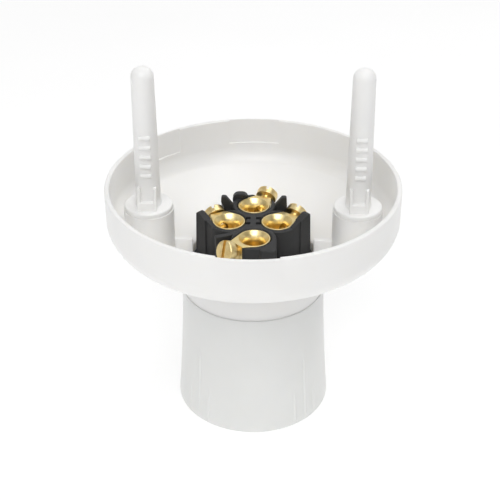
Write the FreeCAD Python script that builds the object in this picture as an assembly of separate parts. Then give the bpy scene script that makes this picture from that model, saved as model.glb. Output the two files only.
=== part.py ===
import FreeCAD, Part
import os
from math import acos, atan2, cos, hypot, pi, radians, sin, tan

Vec = FreeCAD.Vector
ORIGIN = Vec(0, 0, 0)
UP = Vec(0, 0, 1)

# Batten lamp holder, all sizes in millimetres.
# Origin at the centre of the skirt's mouth, +Z up towards the open dish.

# Skirt
skirt_height = 46.3
skirt_top_radius = 24.8
mouth_radius = 27.25
skirt_bow = 0.4
skirt_wall = 1.9
mouth_round = 0.8
grip_group_count = 4
grip_first_deg = 45.0
grip_spread_deg = 10.0
grip_width_deg = 2.4
grip_proud = 0.5
grip_low = 1.2
grip_tall = 29.0
grip_short = 14.0
grip_run_out = 2.5

# Neck, ledge and threaded spigot of the dish
seam_gap = 0.3
neck_setback = 0.6
neck_wall = 2.2
neck_height = 10.2
neck_fillet = 3.0
spigot_length = 10.0
thread_land = 0.5
thread_clearance = 0.35
ledge_rise = 3.6
ledge_thickness = 2.4

# Bowl of the dish
dish_radius = 49.8
dish_wall = 1.7
dish_floor = 2.0
dish_straight = 11.0
dish_bend = 8.0
dish_slope_deg = 28.0
rim_round_outer = 0.5
rim_round_inner = 0.3
well_round = 0.8

# Thinned panels in the dish wall that break out for cables
panels_deg = ((90.0, 20.0), (129.5, 21.0), (269.3, 23.5))
panel_depth = 9.3
panel_skin = 0.7

# Fixing bosses and webs
boss_inset = 14.3
boss_radius = 8.5
boss_depth = 10.2
plug_seat_depth = 4.0
screw_seat_web = 2.0
fixing_hole_radius = 2.4
screw_recess_radius = 5.0
web_depth = 22.2
web_thickness = 1.8
web_reach = 20.8

# Wall plugs
plug_collar_radius = 8.2
plug_collar_thickness = 1.6
plug_collar_round = 0.5
plug_base_radius = 4.3
plug_tip_radius = 3.7
plug_tip_flat = 0.4
plug_height = 51.2
plug_spigot_radius = 3.65
plug_fit = 0.05
plug_bore_radius = 1.5
plug_bore_depth = 42.0
ridge_count = 5
ridge_first = 12.7
ridge_pitch = 3.45
ridge_radius = 0.85
ridge_sunk = 0.3
ridge_length = 3.9
gusset_spacing = 5.4
gusset_thickness = 0.9
gusset_height = 8.3
gusset_foot = 1.9
gusset_head = 0.2
heel_height = 3.0
heel_foot = 1.5

# Barrel for the lamp cap
barrel_bore_radius = 11.2
barrel_relief_radius = 12.0
barrel_wall = 2.2
barrel_length = 23.7
flange_thickness = 2.0
well_clearance = 0.3
slot_width = 2.7
slot_turn_deg = 32.0
slot_below_step = 0.25
cap_pin_height = 9.35

# Terminal block
block_base_thickness = 3.0
chamber_floor_rise = 4.8
chamber_clearance = 0.35
cup_wall = 1.7
wall_proud = 0.2
nose_radius = 9.6
nose_length = 8.2
nose_floor = 2.0
centre_web = (6.8, 11.2)
web_pocket = 1.6
web_pocket_pitch = 3.5
web_pocket_depth = 6.0

# Fins of the block; their plan points are measured from the centre of the terminal they stand beside
fin_thickness = 1.9
fin_rise = 3.5
fin_crest = 1.6
fin_flare = 0.7
fin_round = 0.6
fin_post_width = 4.6
fin_post_proud = 0.45
side_fin = ((4.6, -4.8), (10.3, 0.7))
back_fin = ((7.2, 0.0), (11.4, 0.2))
channel_wall = ((-5.8, 3.4), (-13.0, 0.3))
knob_place = (-4.85, 5.2)
knob_width = 5.5
knob_depth = 2.4
knob_rise = 2.1
knob_round = 2.2
apron_reach = 7.6
apron_sides = (-3.3, 7.6)
apron_round = 0.8
pad_left = 2.2
pad_proud = 1.0
pad_round = 0.4

# Terminals and their screws
terminal_depth = 15.3
terminal_radius = 5.5
line_spacing = 16.6
cross_spacing = 22.4
earth_shift = 0.5
funnel_land = 0.5
funnel_depth = 2.2
funnel_round = 4.0
wire_bore_radius = 3.3
wire_bore_depth = 9.2
lug_reach = 6.9
lug_half_width = 2.9
lug_offset = 1.0
screw_dip = 6.0
screw_tilt_deg = 23.0
screw_radius = 2.1
screw_fit = 0.08
screw_length = 5.1
screw_seat_reach = 8.95
screw_head_radius = 3.7
screw_head_thickness = 2.7
screw_head_round = 0.4
screw_head_clearance = 0.35
screw_slot_width = 1.2
screw_slot_depth = 1.4

# Contacts
contact_spacing = 11.0
contact_tube_radius = 3.3
contact_tube_wall = 0.92
contact_bore_rise = 0.6
plunger_tip_radius = 1.9
plunger_tip_flat = 0.4
plunger_collar_height = 2.5
plunger_stub_radius = 1.0
plunger_stub_height = 1.4
plunger_reach = 4.5
plunger_fit = 0.08
plunger_rest_gap = 0.1
spring_wire_radius = 0.28
spring_turns = 7
spring_clearance = 0.25
spring_end_gap = 0.05

# Screws that clamp the block and barrel to the ledge
retaining_barrel_gap = 0.6
retaining_bore_gap = 0.4
retaining_radius = 1.5
retaining_length = 9.0
retaining_head_radius = 2.5
retaining_head_height = 1.9
retaining_hole_clearance = 0.2
retaining_pilot_clearance = 0.05

# Radii and levels that follow from the sizes above
neck_radius = skirt_top_radius - neck_setback
spigot_radius = skirt_top_radius - skirt_wall - thread_land
fixing_centres = 2 * (dish_radius - boss_inset)
barrel_radius = barrel_bore_radius + barrel_wall
retaining_reach = barrel_radius + retaining_barrel_gap + retaining_head_radius
spigot_bore_radius = retaining_reach + retaining_head_radius + retaining_bore_gap
shoulder_z = skirt_height + seam_gap
slope = tan(radians(dish_slope_deg))
bend_setback = tan(radians(90 - dish_slope_deg) / 2)
neck_top_z = shoulder_z + neck_height
bowl_corner_z = neck_top_z + (dish_radius - neck_radius) * slope
rim_z = bowl_corner_z + dish_bend * bend_setback + dish_straight
floor_rise = dish_floor / cos(radians(dish_slope_deg))
dish_inner_radius = dish_radius - dish_wall
well_radius = neck_radius - neck_wall
ledge_top_z = shoulder_z + ledge_rise
flange_top_z = ledge_top_z + flange_thickness
base_top_z = flange_top_z + block_base_thickness
chamber_floor_z = base_top_z + chamber_floor_rise
funnel_z = rim_z - terminal_depth
wall_top_z = funnel_z + wall_proud
boss_top_z = rim_z - boss_depth
nose_bottom_z = flange_top_z - nose_length
nose_floor_z = nose_bottom_z + nose_floor
barrel_mouth_z = ledge_top_z - barrel_length
contact_tip_z = nose_bottom_z - plunger_reach
contact_bore_radius = contact_tube_radius - contact_tube_wall
contact_bore_top_z = chamber_floor_z + contact_bore_rise

# Terminals: centre in plan, screw direction, side the lug leans to, reach of the screw's head, slot turn
terminals = {
    "active": ((-line_spacing / 2, 0), 118.0, 1, 9.2, 15.0),
    "neutral": ((line_spacing / 2, 0), 58.0, -1, 10.4, -10.0),
    "loop": ((0, cross_spacing / 2), 71.0, -1, 10.4, -12.0),
    "earth": ((earth_shift, -cross_spacing / 2), 222.0, -1, 10.8, 12.0),
}
line_terminals = {"active": -contact_spacing / 2, "neutral": contact_spacing / 2}


def rounded_wire(corners):
    """Closed wire through (point, radius) corners: straight runs joined by tangent arcs."""
    runs, arcs = [], []
    for i, (point, radius) in enumerate(corners):
        before = (corners[i - 1][0] - point).normalize()
        after = (corners[(i + 1) % len(corners)][0] - point).normalize()
        if not radius:
            runs.append((point, point))
            arcs.append(None)
            continue
        half = before.getAngle(after) / 2
        middle = (before + after).normalize()
        start, end = (point + way * (radius / tan(half)) for way in (before, after))
        runs.append((start, end))
        arcs.append(Part.Arc(start, point + middle * (radius / sin(half) - radius), end).toShape())
    edges = []
    for i, arc in enumerate(arcs):
        if arc:
            edges.append(arc)
        here, there = runs[i][1], runs[(i + 1) % len(runs)][0]
        if (there - here).Length > 1e-6:
            edges.append(Part.LineSegment(here, there).toShape())
    return Part.Wire(edges)


def turned(corners, angle=360.0, start=0.0):
    """Solid of revolution about Z from (radius, height, rounding) corners."""
    wire = rounded_wire([(Vec(r, 0, z), rounding) for r, z, rounding in corners])
    solid = Part.Face(wire).revolve(ORIGIN, UP, angle)
    solid.rotate(ORIGIN, UP, start)
    return solid


def upright(outline, low, high):
    """Prism over a plan outline of (x, y, rounding) corners."""
    wire = rounded_wire([(Vec(x, y, low), rounding) for x, y, rounding in outline])
    return Part.Face(wire).extrude(UP * (high - low))


def drum(radius, low, high, x=0.0, y=0.0):
    return Part.makeCylinder(radius, high - low, Vec(x, y, low))


def block(x, y, z):
    """Box between (low, high) pairs."""
    return Part.makeBox(x[1] - x[0], y[1] - y[0], z[1] - z[0], Vec(x[0], y[0], z[0]))


def sector(inner, outer, low, high, start, span):
    return turned([(inner, low, 0), (outer, low, 0), (outer, high, 0), (inner, high, 0)], span, start)


def placed(shape, centre, direction_deg):
    """Turn a shape made along +X to its direction in plan and move it to its centre."""
    shape.rotate(ORIGIN, UP, direction_deg)
    shape.translate(Vec(centre[0], centre[1], 0))
    return shape


def skirt_radius(z):
    """Outer radius of the gently bowed skirt at a height."""
    share = z / skirt_height
    straight = mouth_radius + (skirt_top_radius - mouth_radius) * share
    return straight - 4 * skirt_bow * share * (1 - share)


def flared_band(low, high, inset, proud):
    """Closed wire of a band that follows the skirt's outside, from inset inside it to proud outside it."""
    middle = (low + high) / 2
    heights = (low, middle, high)
    inner = [Vec(skirt_radius(z) - inset, 0, z) for z in heights]
    outer = [Vec(skirt_radius(z) + proud, 0, z) for z in heights]
    edges = [
        Part.Arc(*outer).toShape(),
        Part.LineSegment(outer[2], inner[2]).toShape(),
        Part.Arc(*reversed(inner)).toShape(),
        Part.LineSegment(inner[0], outer[0]).toShape(),
    ]
    return Part.Wire(edges)


def grip_rib(height, place_deg):
    """One upright grip rib, run out to nothing at its top."""
    section = Part.Face(flared_band(grip_low, height, skirt_wall / 2, grip_proud))
    rib = section.revolve(ORIGIN, UP, grip_width_deg)
    top = skirt_radius(height)
    foot = skirt_radius(height - grip_run_out) + grip_proud
    run_out = turned(
        [(top, height, 0), (foot, height - grip_run_out, 0), (foot + grip_run_out, height + grip_run_out, 0)],
        grip_width_deg,
    )
    rib = rib.cut(run_out)
    rib.rotate(ORIGIN, UP, place_deg - grip_width_deg / 2)
    return rib


def skirt():
    body = Part.Face(flared_band(0, skirt_height, skirt_wall, 0)).revolve(ORIGIN, UP, 360)
    thread_radius = spigot_radius + thread_clearance
    thread_low = skirt_height - spigot_length - seam_gap
    collar = turned([
        (thread_radius, thread_low, 0),
        (skirt_radius(thread_low) - skirt_wall / 2, thread_low, 0),
        (skirt_top_radius - skirt_wall / 2, skirt_height, 0),
        (thread_radius, skirt_height, 0),
    ])
    body = body.fuse(collar).removeSplitter()
    mouth_edges = [e for e in body.Edges if e.BoundBox.ZMax < 1e-6 and e.Length > 1]
    outer_edge = max(mouth_edges, key=lambda e: e.BoundBox.XMax)
    body = body.makeFillet(mouth_round, [outer_edge])
    ribs = []
    for i in range(grip_group_count):
        place = grip_first_deg + i * 360 / grip_group_count
        ribs.append(grip_rib(grip_tall, place))
        ribs += [grip_rib(grip_short, place + side * grip_spread_deg) for side in (-1, 1)]
    return body.fuse(ribs).removeSplitter()


def dish_outside():
    """Corners of the dish's outer profile, from the rim down to the spigot's foot."""
    spigot_bottom_z = shoulder_z - spigot_length
    return [
        (dish_radius, rim_z, rim_round_outer),
        (dish_radius, bowl_corner_z, dish_bend),
        (neck_radius, neck_top_z, neck_fillet),
        (neck_radius, shoulder_z, 0),
        (spigot_radius, shoulder_z, 0),
        (spigot_radius, spigot_bottom_z, 0),
    ]


def dish_floor_z(radius):
    return bowl_corner_z + floor_rise - (dish_radius - radius) * slope


def mounting_dish():
    outside = dish_outside()
    spigot_bottom_z = outside[-1][1]
    ledge_bottom_z = ledge_top_z - ledge_thickness
    ledge_hole = barrel_radius + well_clearance
    inside = [
        (spigot_bore_radius, spigot_bottom_z, 0),
        (spigot_bore_radius, ledge_bottom_z, 0),
        (ledge_hole, ledge_bottom_z, 0),
        (ledge_hole, ledge_top_z, 0),
        (well_radius, ledge_top_z, 0),
        (well_radius, dish_floor_z(well_radius), well_round),
        (dish_inner_radius, dish_floor_z(dish_inner_radius), dish_bend - dish_wall),
        (dish_inner_radius, rim_z, rim_round_inner),
    ]
    body = turned(outside + inside)
    envelope = turned(outside + [(0, spigot_bottom_z, 0), (0, rim_z, 0)])
    plug_seat_z = boss_top_z - plug_seat_depth
    recess_top_z = plug_seat_z - screw_seat_web
    seat_radius = plug_spigot_radius + plug_fit
    bosses, cuts = [], []
    for side in (-1, 1):
        x = side * fixing_centres / 2
        bosses.append(drum(boss_radius, neck_top_z, boss_top_z, x))
        web_ends = sorted((side * web_reach, x))
        web_levels = (base_top_z + well_clearance, rim_z - web_depth)
        bosses.append(block(web_ends, (-web_thickness / 2, web_thickness / 2), web_levels))
        cuts.append(drum(seat_radius, plug_seat_z, boss_top_z, x))
        cuts.append(drum(fixing_hole_radius, recess_top_z, plug_seat_z, x))
        cuts.append(drum(screw_recess_radius, shoulder_z, recess_top_z, x))
        y = side * retaining_reach
        cuts.append(drum(retaining_radius + retaining_hole_clearance, ledge_bottom_z, ledge_top_z, 0, y))
    panel_radii = (dish_inner_radius - dish_wall, dish_radius - panel_skin)
    for place, span in panels_deg:
        cuts.append(sector(*panel_radii, rim_z - panel_depth, rim_z, place - span / 2, span))
    bosses = [boss.common(envelope) for boss in bosses]
    return body.fuse(bosses).removeSplitter().cut(cuts)


def fixing_plug(side):
    """Wall plug made upright on the axis, then moved over its boss."""
    top_z = boss_top_z + plug_height
    collar_top_z = boss_top_z + plug_collar_thickness
    body = turned([
        (0, boss_top_z - plug_seat_depth, 0),
        (plug_spigot_radius, boss_top_z - plug_seat_depth, 0),
        (plug_spigot_radius, boss_top_z, 0),
        (plug_collar_radius, boss_top_z, plug_collar_round),
        (plug_collar_radius, collar_top_z, plug_collar_round),
        (plug_base_radius, collar_top_z, 0),
        (plug_tip_radius, top_z, plug_tip_radius - plug_tip_flat),
        (0, top_z, 0),
    ])
    added = []
    for face in (-1, 1):
        for i in range(ridge_count):
            z = boss_top_z + ridge_first + i * ridge_pitch
            share = (z - collar_top_z) / (top_z - collar_top_z)
            surface = plug_base_radius + (plug_tip_radius - plug_base_radius) * share
            start = Vec(-ridge_length / 2, face * (surface - ridge_sunk), z)
            added.append(Part.makeCylinder(ridge_radius, ridge_length, start, Vec(1, 0, 0)))
        for x in (-gusset_spacing / 2, gusset_spacing / 2):
            start = x - gusset_thickness / 2
            foot, head = (face * (plug_base_radius + reach) for reach in (gusset_foot, gusset_head))
            profile = [
                (Vec(start, 0, collar_top_z), 0),
                (Vec(start, foot, collar_top_z), 0),
                (Vec(start, head, collar_top_z + gusset_height), 0),
                (Vec(start, 0, collar_top_z + gusset_height), 0),
            ]
            added.append(Part.Face(rounded_wire(profile)).extrude(Vec(gusset_thickness, 0, 0)))
        heel_ends = sorted((0, face * (plug_base_radius + heel_foot)))
        heel_half = gusset_spacing / 2
        added.append(block((-heel_half, heel_half), heel_ends, (collar_top_z, collar_top_z + heel_height)))
    seat_z = boss_top_z - plug_seat_depth
    bore = drum(plug_bore_radius, seat_z, seat_z + plug_bore_depth)
    body = body.fuse(added).removeSplitter().cut(bore)
    body.translate(Vec(side * fixing_centres / 2, 0, 0))
    return body


def bayonet_barrel():
    flange_radius = well_radius - well_clearance
    flange_hole = nose_radius + well_clearance
    step_z = contact_tip_z - slot_below_step
    body = turned([
        (barrel_bore_radius, barrel_mouth_z, 0),
        (barrel_radius, barrel_mouth_z, 0),
        (barrel_radius, ledge_top_z, 0),
        (flange_radius, ledge_top_z, 0),
        (flange_radius, flange_top_z, 0),
        (flange_hole, flange_top_z, 0),
        (flange_hole, ledge_top_z, 0),
        (barrel_relief_radius, ledge_top_z, 0),
        (barrel_relief_radius, step_z, 0),
        (barrel_bore_radius, step_z, 0),
    ])
    inner, beyond = barrel_bore_radius - slot_width, barrel_radius + slot_width
    slot_top_z = step_z - slot_below_step
    lock_z = barrel_mouth_z + cap_pin_height
    half = slot_width / 2
    cuts = []
    for place in (90.0, 270.0):
        entry = block((inner, beyond), (-half, half), (barrel_mouth_z, slot_top_z))
        cuts.append(placed(entry, (0, 0), place))
        cuts.append(sector(inner, beyond, slot_top_z - slot_width, slot_top_z, place, slot_turn_deg))
        lock = block((inner, beyond), (-half, half), (lock_z - half, slot_top_z))
        cuts.append(placed(lock, (0, 0), place + slot_turn_deg))
    for side in (-1, 1):
        y = side * retaining_reach
        cuts.append(drum(retaining_radius + retaining_hole_clearance, ledge_top_z, flange_top_z, 0, y))
    return body.cut(cuts)


def teardrop(radius, reach, half_width, offset, low, high):
    """Prism of a terminal's plan: a circle drawn out to a flat lug along +X."""
    ends, touches = [], []
    for side in (1, -1):
        x, y = reach, offset + side * half_width
        touch = atan2(y, x) + side * acos(radius / hypot(x, y))
        ends.append(Vec(x, y, low))
        touches.append(Vec(radius * cos(touch), radius * sin(touch), low))
    edges = [
        Part.LineSegment(ends[1], ends[0]).toShape(),
        Part.LineSegment(ends[0], touches[0]).toShape(),
        Part.Arc(touches[0], Vec(-radius, 0, low), touches[1]).toShape(),
        Part.LineSegment(touches[1], ends[1]).toShape(),
    ]
    return Part.Face(Part.Wire(edges)).extrude(UP * (high - low))


def along_screw(shape, offset):
    """Tilt a shape made along +Z onto a terminal's screw axis, which runs out along +X."""
    shape.rotate(ORIGIN, Vec(0, 1, 0), 90 - screw_tilt_deg)
    shape.translate(Vec(0, offset, funnel_z - screw_dip))
    return shape


def terminal(name):
    centre, direction, side, _, _ = terminals[name]
    offset = side * lug_offset
    body = teardrop(terminal_radius, lug_reach, lug_half_width, offset, chamber_floor_z, funnel_z)
    funnel = turned([
        (0, funnel_z - wire_bore_depth, 0),
        (wire_bore_radius, funnel_z - wire_bore_depth, 0),
        (wire_bore_radius, funnel_z - funnel_depth, funnel_round),
        (terminal_radius - funnel_land, funnel_z, 0),
        (0, funnel_z, 0),
    ])
    screw_hole = along_screw(Part.makeCylinder(screw_radius + screw_fit, 2 * lug_reach), offset)
    body = placed(body.cut([funnel, screw_hole]), centre, direction)
    if name in line_terminals:
        x = line_terminals[name]
        tube = drum(contact_tube_radius, nose_floor_z, chamber_floor_z, x)
        body = body.fuse(tube).removeSplitter()
        body = body.cut(drum(contact_bore_radius, nose_floor_z, contact_bore_top_z, x))
    return body


def terminal_screw(name):
    centre, direction, side, head_reach, turn = terminals[name]
    tip, head_top = head_reach - screw_length, head_reach + screw_head_thickness
    body = turned([
        (0, tip, 0),
        (screw_radius, tip, screw_head_round),
        (screw_radius, head_reach, 0),
        (screw_head_radius, head_reach, 0),
        (screw_head_radius, head_top, screw_head_round),
        (0, head_top, 0),
    ])
    slot_ends = (-screw_head_radius, screw_head_radius)
    slot_sides = (-screw_slot_width / 2, screw_slot_width / 2)
    slot = block(slot_ends, slot_sides, (head_top - screw_slot_depth, head_top))
    slot.rotate(ORIGIN, UP, turn)
    return placed(along_screw(body.cut(slot), side * lug_offset), centre, direction)


def beside(centre, offset, side=1):
    """Plan point beside a terminal's centre, mirrored in X for the other side."""
    return (centre[0] + side * offset[0], centre[1] + offset[1])


def fin_plate(run, thickness, start_z, end_z):
    """Upright plate along +X whose top climbs from its start to a rounded crest at its end."""
    profile = [
        (Vec(0, -thickness / 2, base_top_z), 0),
        (Vec(run + fin_flare, -thickness / 2, base_top_z), 0),
        (Vec(run, -thickness / 2, end_z), fin_round),
        (Vec(run - fin_crest, -thickness / 2, end_z), fin_round),
        (Vec(0, -thickness / 2, start_z), 0),
    ]
    return Part.Face(rounded_wire(profile)).extrude(Vec(0, thickness, 0))


def fin(start, end, post=False):
    """Fin of the block between two plan points, with a thicker post at its outer end where asked."""
    run = hypot(end[0] - start[0], end[1] - start[1])
    crest_z = funnel_z + fin_rise
    plate = fin_plate(run, fin_thickness, wall_top_z, crest_z)
    if post:
        thickness = fin_thickness + 2 * fin_post_proud
        thick = fin_plate(run, thickness, wall_top_z, crest_z)
        post_run = (run - fin_post_width, run + fin_flare)
        post_room = block(post_run, (-thickness, thickness), (base_top_z, crest_z))
        plate = plate.fuse(thick.common(post_room)).removeSplitter()
    return placed(plate, start, atan2(end[1] - start[1], end[0] - start[0]) * 180 / pi)


def level_wall(start, end):
    """Plain wall of the block between two plan points, level with its cups."""
    run = hypot(end[0] - start[0], end[1] - start[1])
    wall = block((0, run), (-fin_thickness / 2, fin_thickness / 2), (base_top_z, wall_top_z))
    return placed(wall, start, atan2(end[1] - start[1], end[0] - start[0]) * 180 / pi)


def knob(centre):
    """Round-topped upright beside the back terminal's lug."""
    x, y = beside(centre, knob_place)
    half, back = knob_width / 2, y + knob_depth / 2
    top_z = funnel_z + knob_rise
    front = [
        (Vec(x - half, back, base_top_z), 0),
        (Vec(x - half, back, top_z), knob_round),
        (Vec(x + half, back, top_z), knob_round),
        (Vec(x + half, back, base_top_z), 0),
    ]
    return Part.Face(rounded_wire(front)).extrude(Vec(0, -knob_depth, 0))


def apron(centre):
    """Flat front of the earth chamber with a raised pad on its right half."""
    left, right = (centre[0] + side for side in apron_sides)
    front = centre[1] - apron_reach
    pad_x = centre[0] + pad_left
    outline = [
        (left, front, 0),
        (pad_x, front, 0),
        (pad_x, front - pad_proud, pad_round),
        (right, front - pad_proud, apron_round),
        (right, centre[1], 0),
        (left, centre[1], 0),
    ]
    return upright(outline, base_top_z, wall_top_z)


def terminal_block():
    base_radius = well_radius - well_clearance
    base = drum(base_radius, flange_top_z, base_top_z)
    well_room = drum(base_radius, nose_bottom_z, rim_z)
    parts = [drum(nose_radius, nose_bottom_z, flange_top_z)]
    cuts = []
    room = terminal_radius + chamber_clearance
    half = lug_half_width + chamber_clearance
    for centre, direction, side, _, _ in terminals.values():
        offset = side * lug_offset
        parts.append(drum(room + cup_wall, base_top_z, wall_top_z, *centre))
        chamber = teardrop(room, lug_reach + chamber_clearance, half, offset, chamber_floor_z, wall_top_z)
        gate = block((0, 2 * lug_reach), (offset - half, offset + half), (chamber_floor_z, wall_top_z))
        head_low = screw_seat_reach - screw_head_clearance
        head_room = drum(screw_head_radius + screw_head_clearance, head_low, head_low + 2 * lug_reach)
        head_room = along_screw(head_room, offset)
        cuts += [placed(shape, centre, direction) for shape in (chamber, gate, head_room)]
    loop, earth = terminals["loop"][0], terminals["earth"][0]
    for side in (-1, 1):
        line = (side * line_spacing / 2, 0)
        parts.append(fin(*[beside(line, point, side) for point in side_fin], post=True))
        parts.append(fin(*[beside(loop, point, side) for point in back_fin]))
    parts.append(level_wall(*[beside(earth, point) for point in channel_wall]))
    parts += [knob(loop), apron(earth)]
    web_x, web_y = (size / 2 for size in centre_web)
    parts.append(block((-web_x, web_x), (-web_y, web_y), (base_top_z, wall_top_z)))
    pocket, pitch = web_pocket / 2, web_pocket_pitch / 2
    pocket_levels = (wall_top_z - web_pocket_depth, wall_top_z)
    for x in (-pitch, pitch):
        for y in (-pitch, pitch):
            cuts.append(block((x - pocket, x + pocket), (y - pocket, y + pocket), pocket_levels))
    for x in line_terminals.values():
        cuts.append(drum(contact_tube_radius + chamber_clearance, nose_floor_z, chamber_floor_z, x))
        cuts.append(drum(plunger_tip_radius + plunger_fit, nose_bottom_z, nose_floor_z, x))
    pilot_radius = retaining_radius + retaining_pilot_clearance
    pilot_top_z = ledge_top_z - ledge_thickness + retaining_length + well_clearance
    for side in (-1, 1):
        cuts.append(drum(pilot_radius, flange_top_z, pilot_top_z, 0, side * retaining_reach))
    return base.fuse([part.common(well_room) for part in parts]).removeSplitter().cut(cuts)


def contact_plunger(x):
    collar_z = nose_floor_z + plunger_rest_gap
    collar_radius = contact_bore_radius - plunger_fit
    body = turned([
        (0, contact_tip_z, 0),
        (plunger_tip_radius, contact_tip_z, plunger_tip_radius - plunger_tip_flat),
        (plunger_tip_radius, collar_z, 0),
        (collar_radius, collar_z, 0),
        (collar_radius, collar_z + plunger_collar_height, 0),
        (plunger_stub_radius, collar_z + plunger_collar_height, 0),
        (plunger_stub_radius, collar_z + plunger_collar_height + plunger_stub_height, 0),
        (0, collar_z + plunger_collar_height + plunger_stub_height, 0),
    ])
    body.translate(Vec(x, 0, 0))
    return body


def plunger_spring(x):
    low = nose_floor_z + plunger_rest_gap + plunger_collar_height + spring_end_gap + spring_wire_radius
    high = contact_bore_top_z - spring_end_gap - spring_wire_radius
    coil_radius = contact_bore_radius - spring_clearance - spring_wire_radius
    path = Part.makeHelix((high - low) / spring_turns, high - low, coil_radius)
    section = Part.Wire(Part.makeCircle(spring_wire_radius, Vec(coil_radius, 0, 0), Vec(0, 1, 0)))
    coil = Part.Wire(path.Edges).makePipeShell([section], True, True)
    coil.translate(Vec(x, 0, low))
    return coil


def retaining_screw(side):
    seat_z = ledge_top_z - ledge_thickness
    head_z = seat_z - retaining_head_height
    body = turned([
        (0, head_z, 0),
        (retaining_head_radius, head_z, screw_head_round),
        (retaining_head_radius, seat_z, 0),
        (retaining_radius, seat_z, 0),
        (retaining_radius, seat_z + retaining_length, screw_head_round),
        (0, seat_z + retaining_length, 0),
    ])
    slot_sides = (-screw_slot_width / 2, screw_slot_width / 2)
    slot_ends = (-retaining_head_radius, retaining_head_radius)
    body = body.cut(block(slot_ends, slot_sides, (head_z, head_z + retaining_head_height / 2)))
    body.translate(Vec(0, side * retaining_reach, 0))
    return body


pieces = {
    "mounting_dish": mounting_dish(),
    "skirt": skirt(),
    "bayonet_barrel": bayonet_barrel(),
    "terminal_block": terminal_block(),
    "fixing_plug_left": fixing_plug(-1),
    "fixing_plug_right": fixing_plug(1),
    "retaining_screw_front": retaining_screw(-1),
    "retaining_screw_back": retaining_screw(1),
    "contact_plunger_left": contact_plunger(-contact_spacing / 2),
    "contact_plunger_right": contact_plunger(contact_spacing / 2),
    "plunger_spring_left": plunger_spring(-contact_spacing / 2),
    "plunger_spring_right": plunger_spring(contact_spacing / 2),
}
for name in terminals:
    pieces[f"{name}_terminal"] = terminal(name)
    pieces[f"{name}_terminal_screw"] = terminal_screw(name)

os.makedirs("parts", exist_ok=True)
for node, shape in pieces.items():
    shape.exportStep(f"parts/{node}.step")
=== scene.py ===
import bmesh
import bpy
from math import atan2, cos, hypot, pi, radians, sin, sqrt, tan
from mathutils import Matrix, Vector


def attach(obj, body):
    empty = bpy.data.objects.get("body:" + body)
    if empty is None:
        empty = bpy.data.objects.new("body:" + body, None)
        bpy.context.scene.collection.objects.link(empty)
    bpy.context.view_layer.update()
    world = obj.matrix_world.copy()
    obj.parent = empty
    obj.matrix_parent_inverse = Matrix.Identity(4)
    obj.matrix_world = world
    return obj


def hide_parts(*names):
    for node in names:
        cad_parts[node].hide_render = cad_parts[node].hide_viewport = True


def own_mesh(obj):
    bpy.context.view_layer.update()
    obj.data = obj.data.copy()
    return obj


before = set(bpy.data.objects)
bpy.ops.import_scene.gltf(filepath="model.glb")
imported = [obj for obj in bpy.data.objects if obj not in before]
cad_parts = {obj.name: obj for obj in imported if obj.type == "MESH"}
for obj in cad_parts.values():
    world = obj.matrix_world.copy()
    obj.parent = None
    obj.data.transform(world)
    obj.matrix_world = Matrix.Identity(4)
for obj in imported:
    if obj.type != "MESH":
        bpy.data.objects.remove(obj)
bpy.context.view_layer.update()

# Studio: the holder stands on a plain white table with a painted glow, strongest in a soft oval pool behind
# it, under three large softboxes.
# The main one is in front, weaker ones are at the left and behind, and the room is brightest at the back.
# The camera is a long lens that looks down into the dish from the front, as in the photograph.
rim_height = 0.08622
camera_reach = 0.35246
camera_rise = 0.19018
camera_turn = 0.023
camera_dip = 0.552
camera_focal_pixels = 1192.33
camera_shift_pixels = -3.232
photo_pixels = 500
sensor_width = 36.0
sweep_half = 3.0
sweep_drop = 0.0003
sweep_white = (0.62, 0.62, 0.62, 1)
sweep_shade = (0.60, 0.60, 0.60, 1)
sweep_mottle = 6.0
sweep_roughness = 0.9
sweep_shine = 0.1
# Painted glow on the floor: the middle and reach of its oval pool, how soon the pool fades, and its emission
# strength outside and inside the pool.
painted_glow_centre = (-0.06, 0.36)
painted_glow_reach = (0.48, 0.80)
painted_glow_edge = 0.4
painted_glow_strength = (0.30, 0.51)
sky_white = (1.0, 1.0, 1.0, 1)
sky_bright = (0.0, 0.97, 0.24)
sky_strength = (0.23, 0.70)
sky_reach = -0.2
light_target = Vector((0, 0, 0.06))
light_size = 0.7
lights = {
    "key_softbox": ((0.0, -0.62, 0.86), 5.0),
    "left_softbox": ((-0.53, -0.63, 0.63), 0.8),
    "back_softbox": ((0.32, 0.30, 1.0), 2.5),
}


def new_material(name):
    """Node material with its shader and object coordinates."""
    material = bpy.data.materials.new(name)
    material.use_nodes = True
    tree = material.node_tree
    shader = tree.nodes["Principled BSDF"]
    place = tree.nodes.new("ShaderNodeTexCoord")
    return material, tree, shader, place.outputs["Object"]


def add_noise(tree, place, scale, detail=3.0):
    noise = tree.nodes.new("ShaderNodeTexNoise")
    noise.inputs["Scale"].default_value = scale
    noise.inputs["Detail"].default_value = detail
    tree.links.new(place, noise.inputs["Vector"])
    return noise.outputs["Fac"]


def add_colours(tree, factor, dark, light, low=0.35, high=0.65):
    """Colour that runs from dark to light over part of a pattern's range."""
    ramp = tree.nodes.new("ShaderNodeValToRGB")
    ramp.color_ramp.elements[0].position = low
    ramp.color_ramp.elements[1].position = high
    ramp.color_ramp.elements[0].color = dark
    ramp.color_ramp.elements[1].color = light
    tree.links.new(factor, ramp.inputs["Fac"])
    return ramp.outputs["Color"]


def add_range(tree, factor, low, high):
    spread = tree.nodes.new("ShaderNodeMapRange")
    spread.inputs["To Min"].default_value = low
    spread.inputs["To Max"].default_value = high
    tree.links.new(factor, spread.inputs["Value"])
    return spread.outputs["Result"]


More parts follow.
